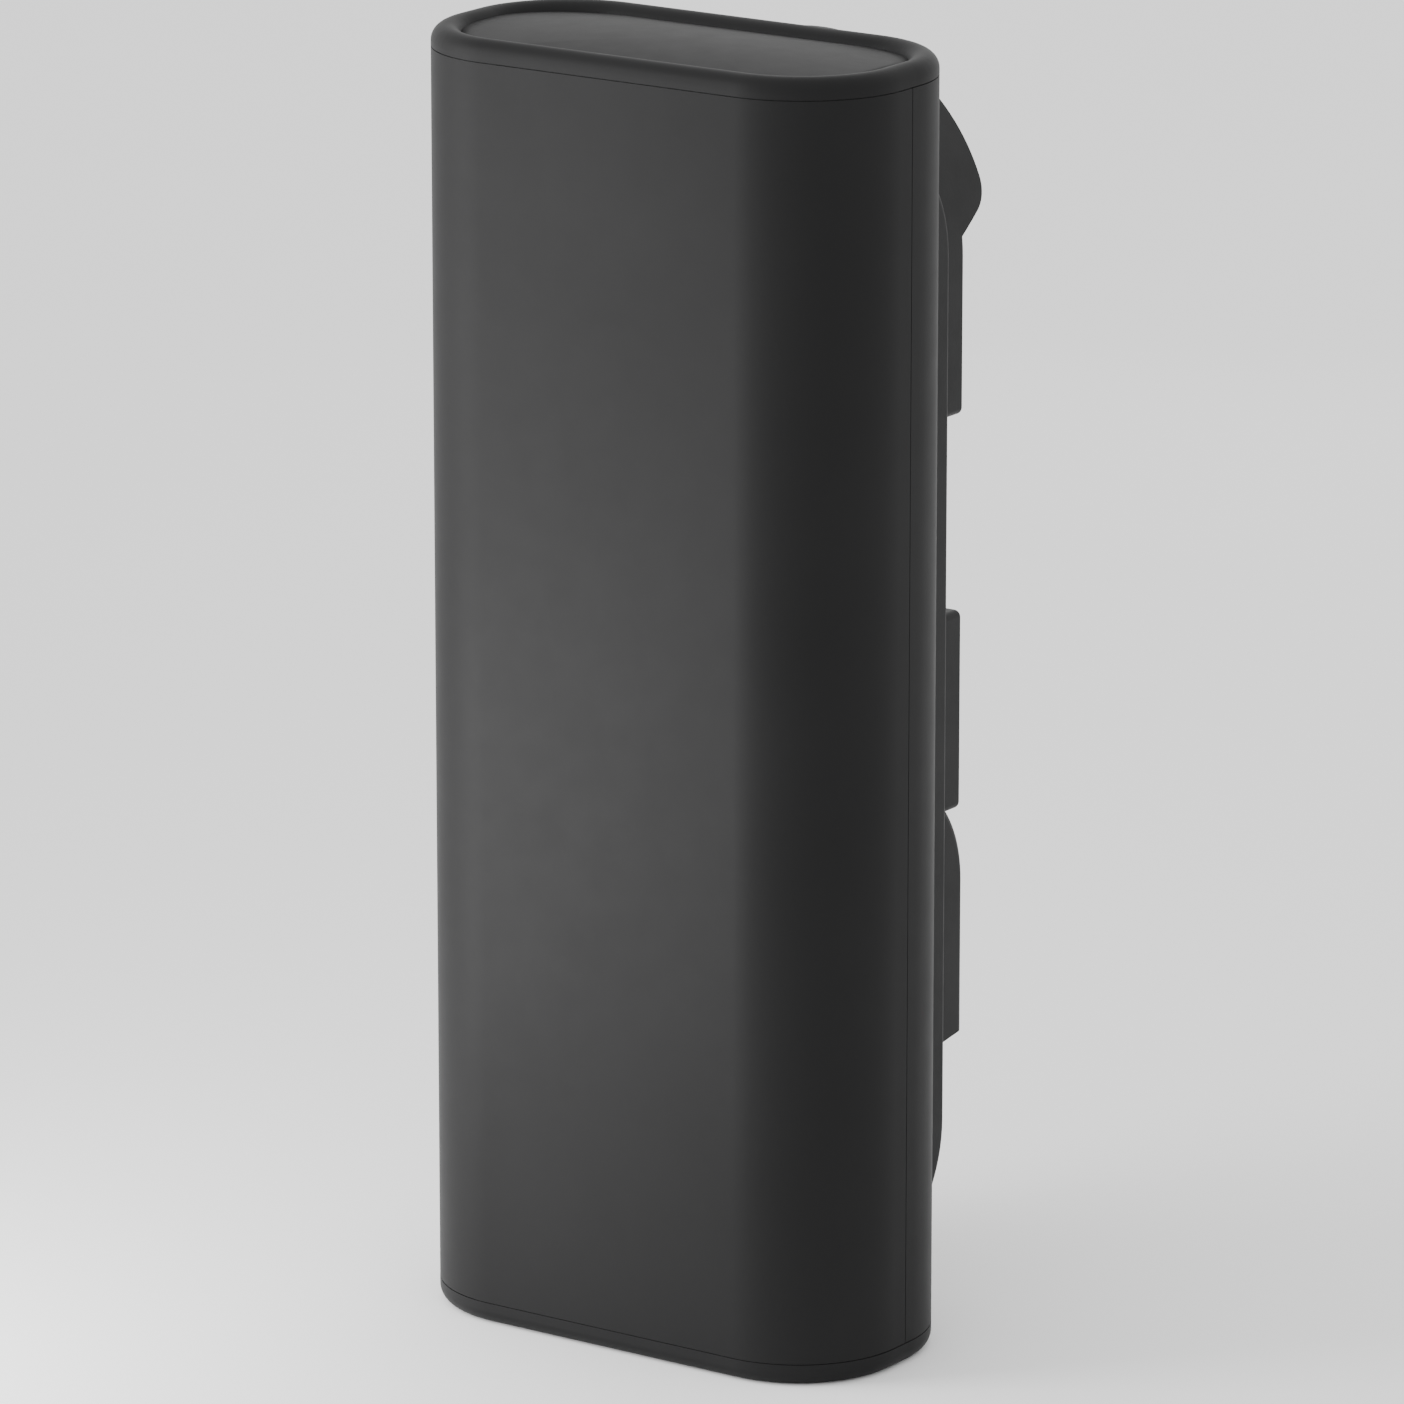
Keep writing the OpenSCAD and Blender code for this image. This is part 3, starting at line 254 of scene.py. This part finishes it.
def smoothing_nodes(weld_distance=0.01 * MM, sharp_from=math.radians(24)):
    """A modifier group that joins a CAD mesh's faces and keeps only its real edges sharp."""
    group = bpy.data.node_groups.new("smoothing", "GeometryNodeTree")
    group.interface.new_socket("Geometry", in_out="INPUT", socket_type="NodeSocketGeometry")
    group.interface.new_socket("Geometry", in_out="OUTPUT", socket_type="NodeSocketGeometry")
    add, link = group.nodes.new, group.links.new
    start, end = add("NodeGroupInput"), add("NodeGroupOutput")
    drop = add("GeometryNodeRemoveAttribute")
    drop.inputs["Name"].default_value = "custom_normal"
    weld = add("GeometryNodeMergeByDistance")
    weld.inputs["Distance"].default_value = weld_distance
    smooth, sharp = add("GeometryNodeSetShadeSmooth"), add("GeometryNodeSetShadeSmooth")
    sharp.domain = "EDGE"
    sharp.inputs["Shade Smooth"].default_value = False
    bend = add("GeometryNodeInputMeshEdgeAngle")
    limit = add("ShaderNodeMath")
    limit.operation = "GREATER_THAN"
    limit.inputs[1].default_value = sharp_from
    link(bend.outputs["Unsigned Angle"], limit.inputs[0])
    link(limit.outputs[0], sharp.inputs["Selection"])
    chain = [start, drop, weld, smooth, sharp, end]
    for a, b in zip(chain, chain[1:]):
        link(a.outputs["Geometry"], b.inputs["Geometry"])
    return group


def smooth_shading(obj, group, flat_faces=True):
    """Tangent faces run into each other without a shading step; flat ones can be kept even."""
    obj.modifiers.new("smoothing", "NODES").node_group = group
    if not flat_faces:
        return
    normals = obj.modifiers.new("normals", "WEIGHTED_NORMAL")
    normals.keep_sharp = True
    normals.weight = 50


def piece(name, bm, material, body, smooth=True):
    """Turns a bmesh into a shown piece that rides on a body."""
    mesh = bpy.data.meshes.new(name)
    bmesh.ops.recalc_face_normals(bm, faces=bm.faces)
    bm.to_mesh(mesh)
    bm.free()
    if smooth:
        mesh.shade_smooth()
    obj = bpy.data.objects.new(name, mesh)
    bpy.context.scene.collection.objects.link(obj)
    mesh.materials.append(material)
    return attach(obj, body)


def islands(node):
    """Lowest and highest corner of each separate solid of a CAD node."""
    bm = bmesh.new()
    bm.from_mesh(frame["nodes"][node].data)
    bmesh.ops.remove_doubles(bm, verts=bm.verts, dist=0.01 * MM)
    bm.verts.ensure_lookup_table()
    seen, found = set(), []
    for start in bm.verts:
        if start.index in seen:
            continue
        stack, group = [start], []
        seen.add(start.index)
        while stack:
            v = stack.pop()
            group.append(v.co.copy())
            for e in v.link_edges:
                w = e.other_vert(v)
                if w.index not in seen:
                    seen.add(w.index)
                    stack.append(w)
        low = Vector(min(c[i] for c in group) for i in range(3))
        high = Vector(max(c[i] for c in group) for i in range(3))
        found.append((low, high))
    bm.free()
    return found


def lathe(bm, profile, centre, steps):
    """Turns a profile of (radius, height towards the front) points round an axis along Y."""
    on_axis = 0.001 * MM
    rings = []
    for radius, height in profile:
        if radius < on_axis:
            rings.append([bm.verts.new(centre + Vector((0, -height, 0)))])
            continue
        ring = []
        for k in range(steps):
            a = math.tau * k / steps
            ring.append(bm.verts.new(
                centre + Vector((radius * math.cos(a), -height, radius * math.sin(a)))))
        rings.append(ring)
    for a, b in zip(rings, rings[1:]):
        for k in range(steps):
            quad = [a[k % len(a)], a[(k + 1) % len(a)], b[(k + 1) % len(b)], b[k % len(b)]]
            corners = list(dict.fromkeys(quad))
            if len(corners) > 2:
                bm.faces.new(corners)


def diodes(name, node, material):
    """Domed diodes with a flange at the foot, one for each CAD stand-in."""
    dome = [math.radians(d) for d in (0, 22, 45, 68, 90)]
    bm = bmesh.new()
    for low, high in islands(node):
        radius = (high.x - low.x) / 2
        height = high.y - low.y
        centre = Vector(((low.x + high.x) / 2, high.y, (low.z + high.z) / 2))
        barrel = radius * 0.88
        shoulder = height - barrel
        flange = [(0, 0), (radius, 0), (radius, 0.2 * radius), (barrel, 0.26 * radius)]
        profile = flange + [(barrel * math.cos(t), shoulder + barrel * math.sin(t) * 0.98)
                            for t in dome]
        lathe(bm, profile, centre, 14)
    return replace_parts(piece(name, bm, material, "door"), node)


def rounded_box(bm, low, high, edge):
    """A box between two corners with bevelled edges."""
    made = bmesh.ops.create_cube(bm, size=1)
    centre, size = (low + high) / 2, high - low
    for v in made["verts"]:
        v.co = Vector(centre[i] + v.co[i] * size[i] for i in range(3))
    edges = list({e for v in made["verts"] for e in v.link_edges})
    bmesh.ops.bevel(bm, geom=edges, offset=edge, segments=2, affect="EDGES", profile=0.6)


def cap_dome():
    """The top cap's cover: a gently crowned sheet with a skirt that stands on the cap's floor."""
    low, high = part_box("cap_insert")
    rise = 3.5 * MM
    straight = 8.9 * MM
    corner = high.y - straight
    steps, rings = 24, 16
    outline = []
    for quarter in range(4):
        sx = 1 if quarter in (0, 3) else -1
        sy = 1 if quarter < 2 else -1
        for k in range(steps + 1):
            a = math.radians(90 * (quarter + k / steps))
            outline.append((sx * (high.x - corner) + corner * math.cos(a),
                            sy * straight + corner * math.sin(a)))
    bm = bmesh.new()

    def ring(scale, height=None):
        made = []
        for x, y in outline:
            x, y = x * scale, y * scale
            z = high.z - rise * ((x / high.x) ** 2 + (y / high.y) ** 2)
            made.append(bm.verts.new((x, y, z if height is None else height)))
        return made

    loops = [ring(k / rings) for k in range(1, rings + 1)] + [ring(1, low.z)]
    crown = bm.verts.new((0, 0, high.z))
    count = len(outline)
    for k in range(count):
        bm.faces.new((crown, loops[0][k], loops[0][(k + 1) % count]))
        for a, b in zip(loops, loops[1:]):
            bm.faces.new((a[k], b[k], b[(k + 1) % count], a[(k + 1) % count]))
    bm.faces.new(list(reversed(loops[-1])))
    obj = piece("cap_cover", bm, housing_coat, "housing", smooth=False)
    steepest_crown = 0.8
    for face in obj.data.polygons:
        face.use_smooth = face.normal.z > steepest_crown
    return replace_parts(obj, "cap_insert")


def return_spring():
    """The button's return spring: a wound wire."""
    low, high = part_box("button_spring")
    turns, wire, travel = 2.5, 0.3 * MM, 3 * MM
    steps, sides = 120, 8
    centre = (low + high) / 2
    radius = (high.x - low.x) / 2 - wire
    bm = bmesh.new()
    loops = []
    for i in range(steps + 1):
        a = math.tau * turns * i / steps
        y = high.y - wire - (high.y - low.y - 2 * wire) * i / steps
        loops.append([])
        for j in range(sides):
            b = math.tau * j / sides
            out = radius + wire * math.cos(b)
            loops[-1].append(bm.verts.new((centre.x + out * math.cos(a), y + wire * math.sin(b),
                                           centre.z + out * math.sin(a))))
    for first, second in zip(loops, loops[1:]):
        for j in range(sides):
            k = (j + 1) % sides
            bm.faces.new((first[j], first[k], second[k], second[j]))
    bm.faces.new(loops[0])
    bm.faces.new(list(reversed(loops[-1])))
    obj = piece("spring_wire", bm, LOOKS["steel"], "door")
    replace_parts(obj, "button_spring")
    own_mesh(obj)


def controller():
    """The controller board with its parts: relays, connectors, capacitors, chips and resistors.

    Places and sizes on the board are in mm from its lower corner at -X.
    """
    low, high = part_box("controller_board")
    thick, standoff = 1.6 * MM, 9 * MM
    face = high.y - standoff - thick

    def at(x, z):
        return Vector((low.x + x * MM, face, low.z + z * MM))

    def box(bm, x, z, w, h, tall, edge=0.6):
        corner = at(x, z)
        rounded_box(bm, corner - Vector((0, tall * MM, 0)),
                    corner + Vector((w * MM, 0, h * MM)), edge * MM)

    def show(name, bm, slot, smooth=False, material=None):
        return piece("controller_" + name, bm, material or LOOKS[slot], "housing", smooth)

    pcb = bmesh.new()
    rounded_box(pcb, Vector((low.x, face, low.z)), Vector((high.x, face + thick, high.z)), 0.3 * MM)
    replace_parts(show("pcb", pcb, "board_green"), "controller_board")

    relays = bmesh.new()
    relay_pitch = 29
    for i in range(4):
        box(relays, 8 + relay_pitch * i, 28, 20, 27, 15.5, 0.8)
    show("relays", relays, "switch_blue")

    connectors = bmesh.new()
    way_pitch = 5.1
    for x in (12, 44, 76):
        box(connectors, x, 4, 26, 6, 11.5)
        box(connectors, x, 9.5, 26, 6.5, 8.5)
        for k in range(5):
            box(connectors, x + 0.4 + way_pitch * k, 3.4, 4.6, 1.4, 8, 0.3)
    show("connectors", connectors, "board_green", material=connector_green)

    # The processor, two drivers, a regulator, then two groups of resistors
    chips = bmesh.new()
    box(chips, 40, 82, 32, 32, 3, 0.4)
    box(chips, 20, 130, 18, 12, 2.4, 0.3)
    box(chips, 48, 130, 14, 14, 2.2, 0.3)
    box(chips, 14, 66, 10, 8, 2, 0.3)
    for i in range(9):
        box(chips, 14 + 6 * (i % 3), 86 + 9 * (i // 3), 3.2, 1.6, 1, 0.2)
        box(chips, 74 + 5 * i, 66, 1.6, 3.2, 1, 0.2)
    show("chips", chips, "board_black")

    # Legs of the processor on all sides, then of the drivers
    pins = bmesh.new()
    leg_pitch = 2.1
    for i in range(14):
        step = 42 + leg_pitch * i
        for x, z, w, h in ((step, 80.4, 0.9, 35.2), (38.4, step + 42, 35.2, 0.9)):
            box(pins, x, z, w, h, 0.8, 0.1)
    for i in range(6):
        box(pins, 22 + 2.6 * i, 128, 1, 16, 0.7, 0.1)
        box(pins, 50 + 1.9 * i, 128.4, 0.8, 17.2, 0.7, 0.1)
    show("pins", pins, "zinc_plate")

    cans, lids = bmesh.new(), bmesh.new()
    r, tall = 5 * MM, 15 * MM
    rim = 0.84 * r
    can = [(0, 0), (r, 0), (r, 0.08 * tall), (r * 0.93, 0.11 * tall),
           (r, 0.14 * tall), (r, 0.97 * tall), (0.93 * r, tall), (rim, tall)]
    lid = [(rim, 0.97 * tall), (rim, 0.99 * tall), (0, 0.99 * tall)]
    for i in range(4):
        centre = at(90 + 14 * (i % 2), 88 + 20 * (i // 2))
        lathe(cans, can, centre, 32)
        lathe(lids, lid, centre, 32)
    show("capacitors", cans, "board_black", smooth=True)
    show("capacitor_lids", lids, "zinc_plate")

    # A spacer behind the board and a screw head in front of it, at each corner
    studs = bmesh.new()
    inset = 7 * MM
    spacer_r, head_r, head = 3.2 * MM, 3 * MM, 2.2 * MM
    for x in (low.x + inset, high.x - inset):
        for z in (low.z + inset, high.z - inset):
            lathe(studs, [(0, 0), (spacer_r, 0), (spacer_r, standoff), (0, standoff)],
                  Vector((x, high.y, z)), 6)
            lathe(studs, [(0, 0), (head_r, 0), (head_r, 1.2 * MM), (2.3 * MM, 2 * MM), (0, head)],
                  Vector((x, face, z)), 24)
    show("standoffs", studs, "steel")


# ---------------------------------------------------------------- the pieces

housing_coat = coated("housing_coat", (0.0093, 0.0093, 0.0095), (0.0107, 0.0107, 0.0109),
                      rough=(0.5, 0.53), specular=0.1)
connector_green = coated("connector_green", (0.02, 0.19, 0.07), (0.03, 0.25, 0.09))
panel_skin = coated("panel_skin", (0.01, 0.01, 0.0102), (0.0135, 0.0135, 0.0137),
                    peel=0.04 * MM, specular=0.12)

LOOKS = {
    "housing_black": housing_coat,
    "panel_black": panel_skin,
    "seal_rubber": rubber(),
    "zinc_plate": zinc(),
    "steel": brushed("steel", (0.42, 0.42, 0.43), (0.6, 0.6, 0.61), (0.25, 0.4)),
    "supply_aluminium": brushed("supply_aluminium", (0.55, 0.56, 0.57), (0.7, 0.7, 0.71),
                                (0.35, 0.5)),
    "board_green": board("board_green", (0.01, 0.10, 0.05), (0.015, 0.14, 0.07),
                         (0.03, 0.22, 0.10)),
    "board_black": board("board_black", (0.006, 0.006, 0.007), (0.012, 0.012, 0.013),
                         (0.02, 0.02, 0.022)),
    "terminal_grey": coated("terminal_grey", (0.25, 0.26, 0.27), (0.32, 0.33, 0.34)),
    "brass": brushed("brass", (0.55, 0.38, 0.14), (0.75, 0.55, 0.24), (0.22, 0.35)),
    "window_smoked": smoked(),
    "tub_grey": coated("tub_grey", (0.02, 0.02, 0.022), (0.03, 0.03, 0.032)),
    "guard_grey": coated("guard_grey", (0.05, 0.05, 0.053), (0.07, 0.07, 0.073),
                         rough=(0.3, 0.4)),
    "wait_ring_red": glossy("wait_ring_red", (0.36, 0.01, 0.008), (0.5, 0.02, 0.012),
                            transmission=0.35),
    "button_metal": brushed("button_metal", (0.6, 0.61, 0.62), (0.74, 0.74, 0.75),
                            (0.26, 0.36), stretch=(40, 1, 1)),
    "arrow_black": coated("arrow_black", (0.008, 0.008, 0.008), (0.014, 0.014, 0.014)),
    "switch_blue": coated("switch_blue", (0.02, 0.03, 0.08), (0.03, 0.045, 0.11)),
    "led_red": lamp("led_red", (0.85, 0.03, 0.015), 1.5),
    "led_green": lamp("led_green", (0.02, 0.62, 0.25), 0.9),
    "led_amber": lamp("led_amber", (0.95, 0.45, 0.02), 0.7),
}

smoothing = smoothing_nodes()
for part in frame["record"]["subparts"]:
    obj = frame["nodes"][part["node"]]
    smooth_shading(obj, smoothing, flat_faces=part["node"] != "rear_shell")
    obj.data.materials.clear()
    obj.data.materials.append(LOOKS[part["material_slot"]])

diodes("standing_figure_diodes", "red_leds", LOOKS["led_red"])
diodes("walking_figure_diodes", "green_leds", LOOKS["led_green"])
diodes("countdown_diodes", "countdown_leds", LOOKS["led_amber"])
cap_dome()
return_spring()
controller()

# ---------------------------------------------------------------- floor, light, camera


def area_light(name, place, target, size, power):
    """A soft rectangular lamp in watts and metres that the camera doesn't see."""
    data = bpy.data.lights.new(name, "AREA")
    data.shape = "RECTANGLE"
    data.size, data.size_y = size
    data.energy = power
    obj = bpy.data.objects.new(name, data)
    obj.location = place
    direction = Vector(target) - Vector(place)
    obj.rotation_euler = direction.to_track_quat("-Z", "Y").to_euler()
    obj.visible_camera = False
    bpy.context.scene.collection.objects.link(obj)


def floor():
    """A wide sheet of white paper that the object stands on."""
    mesh = bpy.data.meshes.new("studio_floor")
    half = 12
    mesh.from_pydata([(-half, -half, 0), (half, -half, 0), (half, half, 0), (-half, half, 0)],
                     [], [(0, 1, 2, 3)])
    obj = bpy.data.objects.new("studio_floor", mesh)
    obj.location.z = cad_low.z
    bpy.context.scene.collection.objects.link(obj)
    s = Shader("floor_paper").set(Specular_IOR_Level=0.1, Roughness=0.9)
    s.colour(s.mix(s.noise(3, 3), (0.93, 0.93, 0.93), (0.95, 0.95, 0.95)))
    mesh.materials.append(s.material)


def camera():
    """A long lens behind the object and to its left, a little above it."""
    azimuth, elevation, distance = math.radians(214.7), math.radians(15.04), 5.0
    target = Vector((-0.0122, 0, 0.3545))
    back = Vector((math.sin(azimuth) * math.cos(elevation),
                   -math.cos(azimuth) * math.cos(elevation), math.sin(elevation)))
    data = bpy.data.cameras.new("camera")
    data.sensor_width = 36
    data.lens = 236.1
    obj = bpy.data.objects.new("camera", data)
    obj.location = target + back * distance
    obj.rotation_euler = (-back).to_track_quat("-Z", "Y").to_euler()
    bpy.context.scene.collection.objects.link(obj)
    bpy.context.scene.camera = obj


def studio():
    """An even white surround, tall strips by the hinged end and a soft one in front."""
    world = bpy.data.worlds.new("studio")
    world.use_nodes = True
    background = world.node_tree.nodes["Background"]
    background.inputs["Color"].default_value = (1, 1, 1, 1)
    background.inputs["Strength"].default_value = 1.5
    bpy.context.scene.world = world
    area_light("key_side", (0.62, 0.42, 0.62), (0, 0, 0.62), (0.3, 1.2), 5.3)
    area_light("key_back", (0.5, 0.62, 0.62), (0, 0, 0.62), (0.25, 1.2), 6.8)
    area_light("key_low", (0.46, 0.57, 0.12), (0, 0, 0.1), (0.3, 0.22), 3.2)
    area_light("rim", (0.9, -2.0, 1.0), (0, 0, 0.4), (0.9, 1.6), 1.2)


floor()
studio()
camera()
